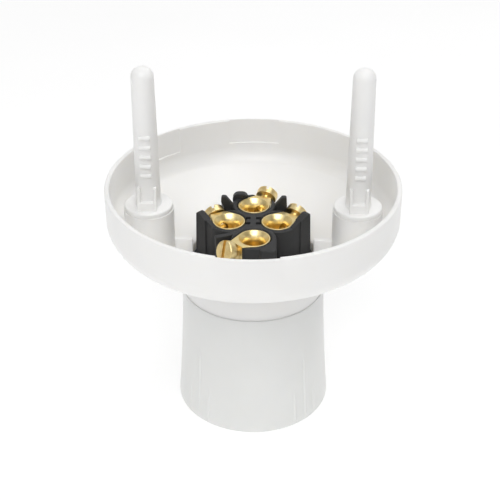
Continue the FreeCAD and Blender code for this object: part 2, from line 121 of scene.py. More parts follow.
def sweep_with_painted_glow():
    """Matt white with a painted glow, stronger in a soft oval pool."""
    material, tree, shader, place = new_material("white_sweep")
    mottle = add_noise(tree, place, sweep_mottle)
    tree.links.new(add_colours(tree, mottle, sweep_shade, sweep_white), shader.inputs["Base Color"])
    shader.inputs["Roughness"].default_value = sweep_roughness
    shader.inputs["Specular IOR Level"].default_value = sweep_shine
    shader.inputs["Emission Color"].default_value = sky_white
    # Painted glow: the floor emits light, though it is no lamp, more strongly in an oval pool behind the
    # holder.
    oval = tree.nodes.new("ShaderNodeMapping")
    oval.inputs["Scale"].default_value = (1 / painted_glow_reach[0], 1 / painted_glow_reach[1], 1)
    oval.inputs["Location"].default_value = (
        -painted_glow_centre[0] / painted_glow_reach[0], -painted_glow_centre[1] / painted_glow_reach[1], 0)
    tree.links.new(place, oval.inputs["Vector"])
    glow = tree.nodes.new("ShaderNodeTexGradient")
    glow.gradient_type = "SPHERICAL"
    tree.links.new(oval.outputs["Vector"], glow.inputs["Vector"])
    fade = tree.nodes.new("ShaderNodeMapRange")
    fade.interpolation_type = "SMOOTHSTEP"
    fade.inputs["From Max"].default_value = painted_glow_edge
    fade.inputs["To Min"].default_value = painted_glow_strength[0]
    fade.inputs["To Max"].default_value = painted_glow_strength[1]
    tree.links.new(glow.outputs["Fac"], fade.inputs["Value"])
    tree.links.new(fade.outputs["Result"], shader.inputs["Emission Strength"])
    return material


sweep_bm = bmesh.new()
bmesh.ops.create_grid(sweep_bm, x_segments=1, y_segments=1, size=sweep_half)
bmesh.ops.translate(sweep_bm, verts=sweep_bm.verts[:], vec=(0, 0, -sweep_drop))
sweep_mesh = bpy.data.meshes.new("white_sweep")
sweep_bm.to_mesh(sweep_mesh)
sweep_bm.free()
sweep_mesh.materials.append(sweep_with_painted_glow())
sweep = bpy.data.objects.new("white_sweep", sweep_mesh)
bpy.context.scene.collection.objects.link(sweep)

for light_name, (light_place, light_power) in lights.items():
    softbox = bpy.data.lights.new(light_name, "AREA")
    softbox.shape = "SQUARE"
    softbox.size = light_size
    softbox.energy = light_power
    lamp = bpy.data.objects.new(light_name, softbox)
    lamp.location = light_place
    lamp.rotation_euler = (light_target - lamp.location).to_track_quat("-Z", "Y").to_euler()
    bpy.context.scene.collection.objects.link(lamp)

sky = bpy.data.worlds.new("studio_sky")
sky.use_nodes = True
sky_nodes = sky.node_tree.nodes
sky_links = sky.node_tree.links
sky_light = sky_nodes["Background"]
sky_light.inputs["Color"].default_value = sky_white
sky_way = sky_nodes.new("ShaderNodeTexCoord")
sky_lean = sky_nodes.new("ShaderNodeVectorMath")
sky_lean.operation = "DOT_PRODUCT"
sky_lean.inputs[1].default_value = sky_bright
sky_fade = sky_nodes.new("ShaderNodeMapRange")
sky_fade.inputs["From Min"].default_value = sky_reach
sky_fade.inputs["To Min"].default_value = sky_strength[0]
sky_fade.inputs["To Max"].default_value = sky_strength[1]
sky_links.new(sky_way.outputs["Generated"], sky_lean.inputs[0])
sky_links.new(sky_lean.outputs["Value"], sky_fade.inputs["Value"])
sky_links.new(sky_fade.outputs["Result"], sky_light.inputs["Strength"])
bpy.context.scene.world = sky
bpy.context.scene.view_settings.view_transform = "Standard"

camera = bpy.data.cameras.new("photo_camera")
camera.sensor_width = sensor_width
camera.lens = camera_focal_pixels / photo_pixels * sensor_width
camera.shift_x = camera_shift_pixels / photo_pixels
camera_object = bpy.data.objects.new("photo_camera", camera)
camera_object.location = (
    camera_reach * sin(camera_turn), -camera_reach * cos(camera_turn), rim_height + camera_rise)
camera_object.rotation_euler = (pi / 2 - camera_dip, 0, camera_turn)
bpy.context.scene.collection.objects.link(camera_object)
bpy.context.scene.camera = camera_object

# Skirt: a flared tube that screws up over the dish's spigot and shrouds the lamp cap.
# It is moulded in white plastic, thick inside its top for the thread, with soft upright grip ribs.
millimetre = 0.001
skirt_height = 46.3
skirt_top_radius = 24.8
mouth_radius = 27.25
skirt_bow = 0.4
skirt_bow_share = 0.97
skirt_wall = 1.9
skirt_edge = 0.3
skirt_seam_edge = 0.04
mouth_round = 0.8
skirt_steps = 900
thread_radius = 22.75
thread_low = 36.0
grip_places_deg = (45, 135, 225, 315)
grip_spread_deg = 10.0
grip_half_deg = 1.2
grip_flat = 1.5
grip_proud = 0.5
grip_low = 1.2
grip_tall = 29.0
grip_short = 14.0
grip_run_out = 2.5
arc_fineness = 4.5
arc_least = 3
merge_reach = 0.002
sharp_deg = 35
flow_scale = 38.0
gloss_scale = 260.0
skin_scale = 2600.0
skin_detail = 2.0
skin_strength = 0.06
skin_depth = 0.00005
wax_reach = (0.0028, 0.0027, 0.0025)
white_wax = 0.5
skirt_light = (0.835, 0.84, 0.825, 1)
skirt_dark = (0.815, 0.82, 0.805, 1)
skirt_gloss = (0.28, 0.38)
skirt_shine = 0.35


def sealed(bm):
    """Close a mesh's seams and poles and turn its faces outwards."""
    bmesh.ops.remove_doubles(bm, verts=bm.verts[:], dist=merge_reach)
    bmesh.ops.dissolve_degenerate(bm, edges=bm.edges[:], dist=merge_reach)
    bmesh.ops.recalc_face_normals(bm, faces=bm.faces[:])
    return bm


def rounded_path(bm, corners, closed=True):
    """Wire through (point, rounding) corners, each rounding a vertex bevel tangent to both of its runs."""
    points = [Vector(point) for point, _ in corners]
    verts = [bm.verts.new(point) for point in points]
    for here, there in zip(verts, verts[1:]):
        bm.edges.new((here, there))
    if closed:
        bm.edges.new((verts[-1], verts[0]))
    for i, (_, rounding) in enumerate(corners):
        if not rounding:
            continue
        before = points[i - 1] - points[i]
        after = points[(i + 1) % len(points)] - points[i]
        setback = rounding / tan(before.angle(after) / 2)
        segments = max(arc_least, round(arc_fineness * sqrt(setback)))
        bmesh.ops.bevel(bm, geom=[verts[i]], offset=setback, affect="VERTICES", segments=segments,
                        profile=0.5, material=-1)


def moved_verts(made):
    return [item for item in made["geom"] if isinstance(item, bmesh.types.BMVert)]


def close_ends(bm):
    bmesh.ops.holes_fill(bm, edges=[edge for edge in bm.edges if edge.is_boundary], sides=0)


def turned(corners, at=(0, 0), steps=96, sweep_deg=360, start_deg=0):
    """Solid turned about an upright axis from (radius, height, rounding) corners."""
    bm = bmesh.new()
    closed = all(radius > 0 for radius, _, _ in corners)
    rounded_path(bm, [((radius, 0, z), rounding) for radius, z, rounding in corners], closed)
    whole = sweep_deg == 360
    share = 4 if whole else 1
    bmesh.ops.spin(bm, geom=bm.verts[:] + bm.edges[:], cent=(0, 0, 0), axis=(0, 0, 1), dvec=(0, 0, 0),
                   angle=radians(sweep_deg / share), steps=steps // share, use_merge=False)
    if whole:
        for doubling_deg in (90, 180):
            copy = bmesh.ops.duplicate(bm, geom=bm.verts[:] + bm.edges[:] + bm.faces[:])
            bmesh.ops.rotate(bm, verts=moved_verts(copy), cent=(0, 0, 0),
                             matrix=Matrix.Rotation(radians(doubling_deg), 3, "Z"))
    else:
        close_ends(bm)
    bm.transform(Matrix.Translation((at[0], at[1], 0)) @ Matrix.Rotation(radians(start_deg), 4, "Z"))
    return sealed(bm)


def moulded(name, dark, light, gloss, wax=0.0, shine=0.5):
    """Moulded plastic: faint flow in the colour, uneven satin gloss and a fine skin from the tool."""
    material, tree, shader, place = new_material(name)
    flow = add_noise(tree, place, flow_scale)
    tree.links.new(add_colours(tree, flow, dark, light), shader.inputs["Base Color"])
    polish = add_noise(tree, place, gloss_scale)
    tree.links.new(add_range(tree, polish, *gloss), shader.inputs["Roughness"])
    skin = tree.nodes.new("ShaderNodeBump")
    skin.inputs["Strength"].default_value = skin_strength
    skin.inputs["Distance"].default_value = skin_depth
    tree.links.new(add_noise(tree, place, skin_scale, skin_detail), skin.inputs["Height"])
    tree.links.new(skin.outputs["Normal"], shader.inputs["Normal"])
    shader.inputs["Specular IOR Level"].default_value = shine
    shader.inputs["Subsurface Weight"].default_value = wax
    shader.inputs["Subsurface Radius"].default_value = wax_reach
    shader.inputs["Subsurface Scale"].default_value = 1.0
    return material


def finished(name, bm, finish, body, node):
    """Make a mesh in millimetres into a piece that stands for a node and rides on its body."""
    bm.transform(Matrix.Scale(millimetre, 4))
    mesh = bpy.data.meshes.new(name)
    bm.to_mesh(mesh)
    bm.free()
    mesh.shade_smooth()
    mesh.set_sharp_from_angle(angle=radians(sharp_deg))
    mesh.materials.append(finish)
    made = bpy.data.objects.new(name, mesh)
    bpy.context.scene.collection.objects.link(made)
    even = made.modifiers.new("even_shading", "WEIGHTED_NORMAL")
    even.keep_sharp = True
    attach(made, body)
    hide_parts(node)
    return made


def skirt_radius(z):
    share = z / skirt_height
    straight = mouth_radius + (skirt_top_radius - mouth_radius) * share
    return straight - 4 * skirt_bow * share * (1 - share)


def raise_grips(bm):
    """Push the skirt's outside out into soft ribs, in groups of one tall rib between two short ones."""
    ribs = []
    for place in grip_places_deg:
        ribs.append((place, grip_tall))
        ribs += [(place + way * grip_spread_deg, grip_short) for way in (-1, 1)]
    for vert in bm.verts:
        x, y, z = vert.co
        reach = hypot(x, y)
        if reach < skirt_radius(z) - skirt_wall / 2 or not grip_low < z < grip_tall:
            continue
        bearing = atan2(y, x) * 180 / pi
        for place, top in ribs:
            off = abs((bearing - place + 180) % 360 - 180)
            if off < grip_half_deg and z < top:
                crest = min(1.0, grip_flat * (1 - off / grip_half_deg))
                fade = min(1.0, (top - z) / grip_run_out, (z - grip_low) / mouth_round)
                stretch = 1 + grip_proud * crest * fade / reach
                vert.co.x *= stretch
                vert.co.y *= stretch


skirt_plastic = moulded("skirt_plastic", skirt_dark, skirt_light, skirt_gloss, white_wax, skirt_shine)
mid_z = skirt_height / 2
mid_radius = (mouth_radius + skirt_top_radius) / 2 - 2 * skirt_bow
bow_radius = mid_z ** 2 / (2 * skirt_bow) * skirt_bow_share
skirt_bm = turned([
    (mouth_radius - skirt_wall, 0, skirt_edge),
    (mouth_radius, 0, mouth_round),
    (mid_radius, mid_z, bow_radius),
    (skirt_top_radius, skirt_height, skirt_seam_edge),
    (thread_radius, skirt_height, skirt_edge),
    (thread_radius, thread_low, skirt_edge),
    (skirt_radius(thread_low) - skirt_wall, thread_low, skirt_edge),
    (mid_radius - skirt_wall, mid_z, 0),
], steps=skirt_steps)
raise_grips(skirt_bm)
finished("grip_skirt", skirt_bm, skirt_plastic, "skirt", "skirt")

# Mounting dish: the round canopy that screws to the ceiling, one white plastic moulding. It has a neck,
# a spigot for the skirt and a ledge inside, two fixing bosses braced by webs, and wall panels that are
# thinned to break out for cables.
dish_radius = 49.8
dish_wall = 1.7
dish_floor = 2.0
dish_bend = 8.0
dish_slope_deg = 28.0
dish_steps = 288
neck_radius = 24.6
neck_fillet = 3.0
neck_seam_edge = 0.03
neck_top_z = 56.8
well_radius = 22.0
well_round = 0.8
shoulder_z = 46.34
rim_z = 86.2186
rim_round = 0.5
rim_round_inner = 0.4
spigot_radius = 22.4
spigot_bore = 19.4
spigot_bottom_z = 36.6
spigot_round = 0.4
spigot_round_inner = 0.3
ledge_z = (47.8, 50.2)
ledge_hole = 13.7
fixing_reach = 35.5
fixing_hole_radius = 2.4
boss_radius = 8.5
boss_top_z = rim_z - 10.2
boss_edge = 0.35
boss_steps = 72
plug_seat_radius = 3.7
plug_seat_z = boss_top_z - 4.0
recess_radius = 5.0
recess_top_z = plug_seat_z - 2.0
web_ends = (20.8, 28.5)
web_thickness = 1.8
web_z = (55.5, rim_z - 22.2)
web_edge = 0.3
room_steps = 180
retaining_reach = 16.5
retaining_hole_radius = 1.7
hole_steps = 48
small_hole_steps = 32
overcut = 1.0
soften_deg = 30
soften_segments = 3
# Each wall panel's place and width in degrees, and the radius of its thinned wall
panels = ((91.0, 22.0, 48.6), (132.5, 15.0, 48.6), (269.3, 23.5, 49.1))
panel_inner = 46.4
panel_depth = 9.3
panel_round = 0.25
panel_steps = 24
white_light = (0.945, 0.936, 0.917, 1)
white_dark = (0.93, 0.92, 0.90, 1)
white_gloss = (0.26, 0.36)
white_shine = 0.4


def combined(body, how, others):
    """Join, cut or clip one mesh with others, which are used up."""
    workpieces = []
    for shape in [body] + others:
        workpiece = bpy.data.objects.new("workpiece", bpy.data.meshes.new("workpiece"))
        shape.to_mesh(workpiece.data)
        shape.free()
        bpy.context.scene.collection.objects.link(workpiece)
        workpieces.append(workpiece)
    for tool in workpieces[1:]:
        join = workpieces[0].modifiers.new("join", "BOOLEAN")
        join.operation = how
        join.object = tool
        join.solver = "MANIFOLD"
    result = bmesh.new()
    result.from_object(workpieces[0], bpy.context.evaluated_depsgraph_get())
    for workpiece in workpieces:
        bpy.data.meshes.remove(workpiece.data)
    return result


def soften(bm, width):
    """Round a plain solid's edges."""
    edges = [edge for edge in bm.edges if edge.calc_face_angle(0) > radians(soften_deg)]
    bmesh.ops.bevel(bm, geom=edges, offset=width, affect="EDGES", segments=soften_segments,
                    profile=0.5, material=-1)
    return bm


def box(x, y, z, edge=0.0):
    """Box between (low, high) pairs."""
    bm = bmesh.new()
    size = Matrix.Diagonal((x[1] - x[0], y[1] - y[0], z[1] - z[0], 1))
    middle = Matrix.Translation(((x[0] + x[1]) / 2, (y[0] + y[1]) / 2, (z[0] + z[1]) / 2))
    bmesh.ops.create_cube(bm, size=1, matrix=middle @ size)
    return soften(bm, edge) if edge else bm


def drum(radius, low, high, at=(0, 0), edge=0.0, steps=64):
    return turned([(0, low, 0), (radius, low, 0), (radius, high, edge), (0, high, 0)], at, steps)


def sector(radii, z, start_deg, sweep_deg, steps, edge=0.0):
    """Part of a ring between (inner, outer) radii and (low, high) heights, rounded at its outer foot."""
    corners = [(radii[0], z[0], 0), (radii[1], z[0], edge), (radii[1], z[1], 0), (radii[0], z[1], 0)]
    return turned(corners, steps=steps, sweep_deg=sweep_deg, start_deg=start_deg)


def dish_floor_z(radius, depth):
    return bowl_corner_z + depth - (dish_radius - radius) * dish_slope


dish_inner = dish_radius - dish_wall
dish_slope = tan(radians(dish_slope_deg))
bowl_corner_z = neck_top_z + (dish_radius - neck_radius) * dish_slope
floor_rise = dish_floor / cos(radians(dish_slope_deg))
room_radius = well_radius + dish_wall / 2
dish_bm = turned([
    (dish_radius, rim_z, rim_round),
    (dish_radius, bowl_corner_z, dish_bend),
    (neck_radius, neck_top_z, neck_fillet),
    (neck_radius, shoulder_z, neck_seam_edge),
    (spigot_radius, shoulder_z, 0),
    (spigot_radius, spigot_bottom_z, spigot_round),
    (spigot_bore, spigot_bottom_z, spigot_round_inner),
    (spigot_bore, ledge_z[0], 0),
    (ledge_hole, ledge_z[0], 0),
    (ledge_hole, ledge_z[1], 0),
    (well_radius, ledge_z[1], 0),
    (well_radius, dish_floor_z(well_radius, floor_rise), well_round),
    (dish_inner, dish_floor_z(dish_inner, floor_rise), dish_bend - dish_wall),
    (dish_inner, rim_z, rim_round_inner),
], steps=dish_steps)
bosses, dish_cuts = [], []
for side in (-1, 1):
    boss_at = (side * fixing_reach, 0)
    boss_bm = drum(boss_radius, neck_top_z, boss_top_z, boss_at, boss_edge, boss_steps)
    web_x = sorted((side * web_ends[0], side * web_ends[1]))
    web_bm = box(web_x, (-web_thickness / 2, web_thickness / 2), web_z, web_edge)
    for stand_bm in (boss_bm, web_bm):
        room_bm = turned([
            (0, ledge_z[1], 0), (room_radius, ledge_z[1], 0),
            (room_radius, dish_floor_z(room_radius, floor_rise / 2), 0),
            (dish_inner, dish_floor_z(dish_inner, floor_rise / 2), 0),
            (dish_inner, rim_z, 0), (0, rim_z, 0),
        ], steps=room_steps)
        bosses.append(combined(stand_bm, "INTERSECT", [room_bm]))
    dish_cuts += [
        drum(plug_seat_radius, plug_seat_z, boss_top_z + overcut, boss_at, steps=hole_steps),
        drum(fixing_hole_radius, recess_top_z - overcut, plug_seat_z + overcut, boss_at, steps=hole_steps),
        drum(recess_radius, shoulder_z, recess_top_z, boss_at, steps=hole_steps),
        drum(retaining_hole_radius, ledge_z[0] - overcut, ledge_z[1] + overcut, (0, side * retaining_reach),
             steps=small_hole_steps),
    ]
for panel_place, panel_span, panel_outer in panels:
    dish_cuts.append(sector(
        (panel_inner, panel_outer), (rim_z - panel_depth, rim_z + overcut), panel_place - panel_span / 2,
        panel_span, panel_steps, panel_round))
dish_bm = combined(dish_bm, "UNION", bosses)
dish_bm = combined(dish_bm, "DIFFERENCE", dish_cuts)
white_plastic = moulded("white_plastic", white_dark, white_light, white_gloss, white_wax, white_shine)
finished("dish_shell", dish_bm, white_plastic, "base", "mounting_dish")

# Wall plugs: two waxy white pins, each with a collar, gripping ridges front and back and two thin gussets.
# They are soft plastic mouldings pushed into the bosses, and go into the wall when the holder is fitted.
plug_collar_radius = 8.2
plug_collar_top_z = boss_top_z + 1.6
plug_collar_foot = 0.2
plug_collar_round = 0.55
plug_base_radius = 4.3
plug_base_fillet = 0.3
plug_tip_radius = 3.7
plug_tip_round = 3.3
plug_top_z = boss_top_z + 51.2
plug_spigot_radius = 3.65
plug_spigot_round = 0.4
plug_steps = 72
ridge_first_z = boss_top_z + 13.9
ridge_pitch = 3.45
ridge_count = 5
ridge_radius = 0.85
ridge_sunk = 0.3
ridge_length = 3.9
ridge_edge = 0.3
ridge_steps = 32
gusset_places = (-2.7, 2.7)
gusset_thickness = 1.05
gusset_height = 7.9
gusset_foot = 1.9
gusset_head = 0.2
gusset_head_round = 0.15
gusset_sink = 0.4
gusset_edge = 0.18
heel_half = 2.7
heel_height = 3.0
heel_foot = 1.5
heel_sink = 0.25
heel_edge = 0.3
plug_bore_radius = 1.5
plug_bore_top_z = 114.0
plug_bore_round = 0.6
wax_light = (0.95, 0.947, 0.935, 1)
wax_dark = (0.935, 0.932, 0.92, 1)
wax_gloss = (0.3, 0.42)
wax_shine = 0.4
plug_wax = 0.2


def slab(corners, push, edge=0.0):
    """Solid pushed out from a flat outline of (point, rounding) corners, its edges softened."""
    bm = bmesh.new()
    rounded_path(bm, corners)
    outline = bmesh.ops.contextual_create(bm, geom=bm.edges[:])["faces"]
    raised = bmesh.ops.extrude_face_region(bm, geom=outline)
    bmesh.ops.translate(bm, verts=moved_verts(raised), vec=push)
    sealed(bm)
    return soften(bm, edge) if edge else bm


def ridge(middle):
    """Bar along X with rounded ends."""
    bm = bmesh.new()
    lie = Matrix.Translation(middle) @ Matrix.Rotation(pi / 2, 4, "Y")
    bmesh.ops.create_cone(bm, cap_ends=True, segments=ridge_steps, radius1=ridge_radius,
                          radius2=ridge_radius, depth=ridge_length, matrix=lie)
    return soften(bm, ridge_edge)


def wall_plug(x):
    body = turned([
        (0, plug_seat_z, 0),
        (plug_spigot_radius, plug_seat_z, plug_spigot_round),
        (plug_spigot_radius, boss_top_z, 0),
        (plug_collar_radius, boss_top_z, plug_collar_foot),
        (plug_collar_radius, plug_collar_top_z, plug_collar_round),
        (plug_base_radius, plug_collar_top_z, plug_base_fillet),
        (plug_tip_radius, plug_top_z, plug_tip_round),
        (0, plug_top_z, 0),
    ], steps=plug_steps)
    added = []
    for i in range(ridge_count):
        height = ridge_first_z + ridge_pitch * i
        share = (height - plug_collar_top_z) / (plug_top_z - plug_collar_top_z)
        surface = plug_base_radius + (plug_tip_radius - plug_base_radius) * share
        added += [ridge((0, face * (surface - ridge_sunk), height)) for face in (-1, 1)]
    foot, head = plug_base_radius + gusset_foot, plug_base_radius + gusset_head
    low, high = plug_collar_top_z - gusset_sink, plug_collar_top_z + gusset_height
    for place in gusset_places:
        near = place - gusset_thickness / 2
        profile = [
            ((near, -foot, low), 0), ((near, foot, low), 0), ((near, foot, plug_collar_top_z), 0),
            ((near, head, high), gusset_head_round), ((near, -head, high), gusset_head_round),
            ((near, -foot, plug_collar_top_z), 0),
        ]
        added.append(slab(profile, (gusset_thickness, 0, 0), gusset_edge))
    heel_reach = plug_base_radius + heel_foot
    heel_z = (plug_collar_top_z - heel_sink, plug_collar_top_z + heel_height)
    added.append(box((-heel_half, heel_half), (-heel_reach, heel_reach), heel_z, heel_edge))
    bore = drum(plug_bore_radius, plug_seat_z - overcut, plug_bore_top_z, edge=plug_bore_round,
                steps=hole_steps)
    body = combined(combined(body, "UNION", added), "DIFFERENCE", [bore])
    body.transform(Matrix.Translation((x, 0, 0)))
    return body


plug_plastic = moulded("plug_plastic", wax_dark, wax_light, wax_gloss, plug_wax, wax_shine)
for plug_side, plug_x in (("left", -fixing_reach), ("right", fixing_reach)):
    finished(f"wall_plug_{plug_side}", wall_plug(plug_x), plug_plastic, "base",
             f"fixing_plug_{plug_side}")

# Terminal block: a charcoal plastic moulding of four open cups round a webbed middle, with fins that keep
# the wires apart, a knob, an apron and slanted ways for the screw heads. Its base is clamped over the ledge,
# and its nose holds the contacts.
funnel_z = rim_z - 15.3
wall_top_z = funnel_z + 0.2
base_z = (52.2, 55.2)
base_radius = 21.7
base_edge = 0.4
base_steps = 128
root_z = base_z[0] + 1.0
chamber_floor_z = 60.0
nose_radius = 9.6
nose_z = (44.0, 46.0)
cup_room = 5.85
cup_wall = 1.7
cup_edge = 0.5
cup_steps = 96
lip_depth = 0.35
lip_lift = 0.05
lip_grow = 0.4
# Each terminal's centre, its lug's direction in degrees, its screw's offset to the side and reach along the
# slant, and its slot's turn in degrees
terminals = {
    "active": ((-8.3, 0), 118.0, 1.0, 9.2, -12.0),
    "neutral": ((8.3, 0), 58.0, -1.0, 10.4, 14.0),
    "loop": ((0, 11.2), 71.0, -1.0, 10.4, 8.0),
    "earth": ((0.5, -11.2), 222.0, -1.0, 10.8, 12.0),
}
contacts = {"left": -5.5, "right": 5.5}
lug_reach = 6.9
lug_half = 2.9
lug_clearance = 0.35
screw_tilt_deg = 23.0
screw_z = funnel_z - 6.0
screw_seat = 8.6
screw_head_room = 4.05
fin_thickness = 1.9
fin_crest_z = funnel_z + 3.5
fin_crest = 1.6
fin_flare = 0.7
fin_round = 0.6
fin_edge = 0.3
fin_post_length = 4.6
fin_post_proud = 0.45
side_fin = ((4.6, -4.8), (10.3, 0.7))
back_fin = ((7.2, 0.0), (11.4, 0.2))
channel_wall = ((-5.8, 3.4), (-13.0, 0.3))
channel_edge = 0.35
knob_x = (-7.6, -2.1)
knob_y = (15.2, 17.6)
knob_top_z = funnel_z + 2.1
knob_round = 2.2
knob_edge = 0.35
apron_x = (-2.8, 2.7, 8.1)
apron_y = (-11.2, -18.8, -19.8)
apron_rounds = (0.3, 0.8)
apron_edge = 0.3
centre_half = (3.4, 5.6)
pocket_half = 0.8
pocket_reach = 1.75
pocket_depth = 6.0
tube_room = 3.65
tube_overlap = 0.5
tip_hole = 1.98
pilot_radius = 1.55
pilot_top_z = 57.1
flat_deg = 0.5
charcoal_light = (0.044, 0.044, 0.045, 1)
charcoal_dark = (0.035, 0.035, 0.036, 1)
charcoal_gloss = (0.38, 0.52)
charcoal_shine = 0.22


def teardrop(radius, reach, half, offset, low, high, edge=0.0, top_grow=0.0):
    """Upright solid round a circle drawn out to a flat lug along +X, wrapped over its corner points."""
    bm = bmesh.new()
    for height, grow in ((low, 0.0), (high, top_grow)):
        ring = bmesh.ops.create_circle(bm, segments=cup_steps, radius=radius + grow)["verts"]
        ends = [bm.verts.new((reach + grow, offset + way * (half + grow), 0)) for way in (-1, 1)]
        bmesh.ops.translate(bm, verts=ring + ends, vec=(0, 0, height))
    bmesh.ops.convex_hull(bm, input=bm.verts[:])
    bmesh.ops.delete(bm, geom=[vert for vert in bm.verts if not vert.link_faces], context="VERTS")
    bmesh.ops.dissolve_limit(bm, angle_limit=radians(flat_deg), verts=bm.verts[:], edges=bm.edges[:])
    sealed(bm)
    return soften(bm, edge) if edge else bm


def in_plan(bm, centre, direction_deg):
    """Turn a shape made along +X to its direction and move it to its centre."""
    turn = Matrix.Rotation(radians(direction_deg), 4, "Z")
    bm.transform(Matrix.Translation((centre[0], centre[1], 0)) @ turn)
    return bm


def on_screw_axis(bm, offset):
    """Lay a shape made along +Z on a terminal's slanted screw axis, which runs out along +X."""
    tilt = Matrix.Rotation(radians(90 - screw_tilt_deg), 4, "Y")
    bm.transform(Matrix.Translation((0, offset, screw_z)) @ tilt)
    return bm


def run_between(start, end):
    """Length of a run and its direction in degrees."""
    x, y = end[0] - start[0], end[1] - start[1]
    return hypot(x, y), atan2(y, x) * 180 / pi


def fin_plate(run, thickness, start):
    """Upright plate along +X from start on, whose top climbs to a rounded crest at its end."""
    y = -thickness / 2
    climb = (fin_crest_z - wall_top_z) / (run - fin_crest)
    return slab([
        ((start, y, root_z), 0),
        ((run + fin_flare, y, root_z), 0),
        ((run, y, fin_crest_z), fin_round),
        ((run - fin_crest, y, fin_crest_z), fin_round),
        ((start, y, wall_top_z + climb * start), 0),
    ], (0, thickness, 0), fin_edge)


def fin(centre, points, side, post):
    """Fin beside a terminal, with a thicker post at its end where one is wanted."""
    start, end = [(centre[0] + side * x, centre[1] + y) for x, y in points]
    run, direction = run_between(start, end)
    plates = [fin_plate(run, fin_thickness, 0)]
    if post:
        plates.append(fin_plate(run, fin_thickness + 2 * fin_post_proud, run - fin_post_length))
    return [in_plan(plate, start, direction) for plate in plates]


def terminal_block():
    added = [drum(nose_radius, nose_z[0], root_z, steps=cup_steps)]
    cuts = []
    for centre, direction, offset, _, _ in terminals.values():
        added.append(drum(cup_room + cup_wall, root_z, wall_top_z, centre, cup_edge, cup_steps))
        half, reach = lug_half + lug_clearance, lug_reach + lug_clearance
        chamber = teardrop(cup_room, reach, half, offset, chamber_floor_z, wall_top_z + overcut)
        lip = teardrop(cup_room, reach, half, offset, wall_top_z - lip_depth, wall_top_z + lip_lift,
                       top_grow=lip_grow)
        gate = box((0, 2 * lug_reach), (offset - half, offset + half),
                   (chamber_floor_z, wall_top_z + overcut))
        head_way = on_screw_axis(drum(screw_head_room, screw_seat, screw_seat + 2 * lug_reach), offset)
        cuts += [in_plan(shape, centre, direction) for shape in (chamber, lip, gate, head_way)]
    for side, line in ((-1, "active"), (1, "neutral")):
        added += fin(terminals[line][0], side_fin, side, True)
        added += fin(terminals["loop"][0], back_fin, side, False)
    earth = terminals["earth"][0]
    wall_start, wall_end = [(earth[0] + x, earth[1] + y) for x, y in channel_wall]
    wall_run, wall_direction = run_between(wall_start, wall_end)
    wall = box((0, wall_run), (-fin_thickness / 2, fin_thickness / 2), (root_z, wall_top_z), channel_edge)
    added.append(in_plan(wall, wall_start, wall_direction))
    added.append(slab([
        ((knob_x[0], knob_y[1], root_z), 0), ((knob_x[0], knob_y[1], knob_top_z), knob_round),
        ((knob_x[1], knob_y[1], knob_top_z), knob_round), ((knob_x[1], knob_y[1], root_z), 0),
    ], (0, knob_y[0] - knob_y[1], 0), knob_edge))
    added.append(slab([
        ((apron_x[0], apron_y[0], root_z), 0), ((apron_x[0], apron_y[1], root_z), 0),
        ((apron_x[1], apron_y[1], root_z), 0), ((apron_x[1], apron_y[2], root_z), apron_rounds[0]),
        ((apron_x[2], apron_y[2], root_z), apron_rounds[1]), ((apron_x[2], apron_y[0], root_z), 0),
    ], (0, 0, wall_top_z - root_z), apron_edge))
    centre_x = (-centre_half[0], centre_half[0])
    centre_y = (-centre_half[1], centre_half[1])
    added.append(box(centre_x, centre_y, (root_z, wall_top_z)))
    pocket_z = (wall_top_z - pocket_depth, wall_top_z + overcut)
    for x in (-pocket_reach, pocket_reach):
        for y in (-pocket_reach, pocket_reach):
            pocket_x = (x - pocket_half, x + pocket_half)
            pocket_y = (y - pocket_half, y + pocket_half)
            cuts.append(box(pocket_x, pocket_y, pocket_z))
    for x in contacts.values():
        cuts.append(drum(tube_room, nose_z[1], chamber_floor_z + tube_overlap, (x, 0), steps=hole_steps))
        cuts.append(drum(tip_hole, nose_z[0] - overcut, nose_z[1] + overcut, (x, 0), steps=hole_steps))
    for y in (-retaining_reach, retaining_reach):
        cuts.append(drum(pilot_radius, base_z[0] - overcut, pilot_top_z, (0, y), steps=small_hole_steps))
    body = combined(drum(base_radius, *base_z, edge=base_edge, steps=base_steps), "UNION", added)
    return combined(body, "DIFFERENCE", cuts)


charcoal_plastic = moulded(
    "charcoal_plastic", charcoal_dark, charcoal_light, charcoal_gloss, shine=charcoal_shine)
finished("charcoal_block", terminal_block(), charcoal_plastic, "base", "terminal_block")

# Terminals: four brass pieces, each a funnel that leads a wire into its bore, with a lug for its screw.
# They are turned and milled from bar and drop into the block's cups; two of them carry a contact's tube.
terminal_radius = 5.5
terminal_edge = 0.12
wire_bore_radius = 3.3
wire_bore_z = funnel_z - 9.2
funnel_mouth = 5.0
funnel_round = 4.0
funnel_throat_z = funnel_z - 2.2
funnel_lip_drop = 0.08
funnel_lip_round = 0.25
funnel_lip_flare = 0.2
funnel_lip_lift = 0.1
funnel_steps = 96
screw_hole_radius = 2.18
tube_radius = 3.3
tube_root = 0.3
tube_bore_radius = 2.38
tube_bore_top_z = 60.6
brass_bright = (1.0, 0.83, 0.44, 1)
brass_deep = (0.95, 0.74, 0.33, 1)
brass_gloss = (0.26, 0.36)
tarnish_scale = 420.0
polish_scale = 900.0
ring_scale = 900.0
ring_waver = 0.6
ring_strength = 0.12
ring_depth = 0.00004


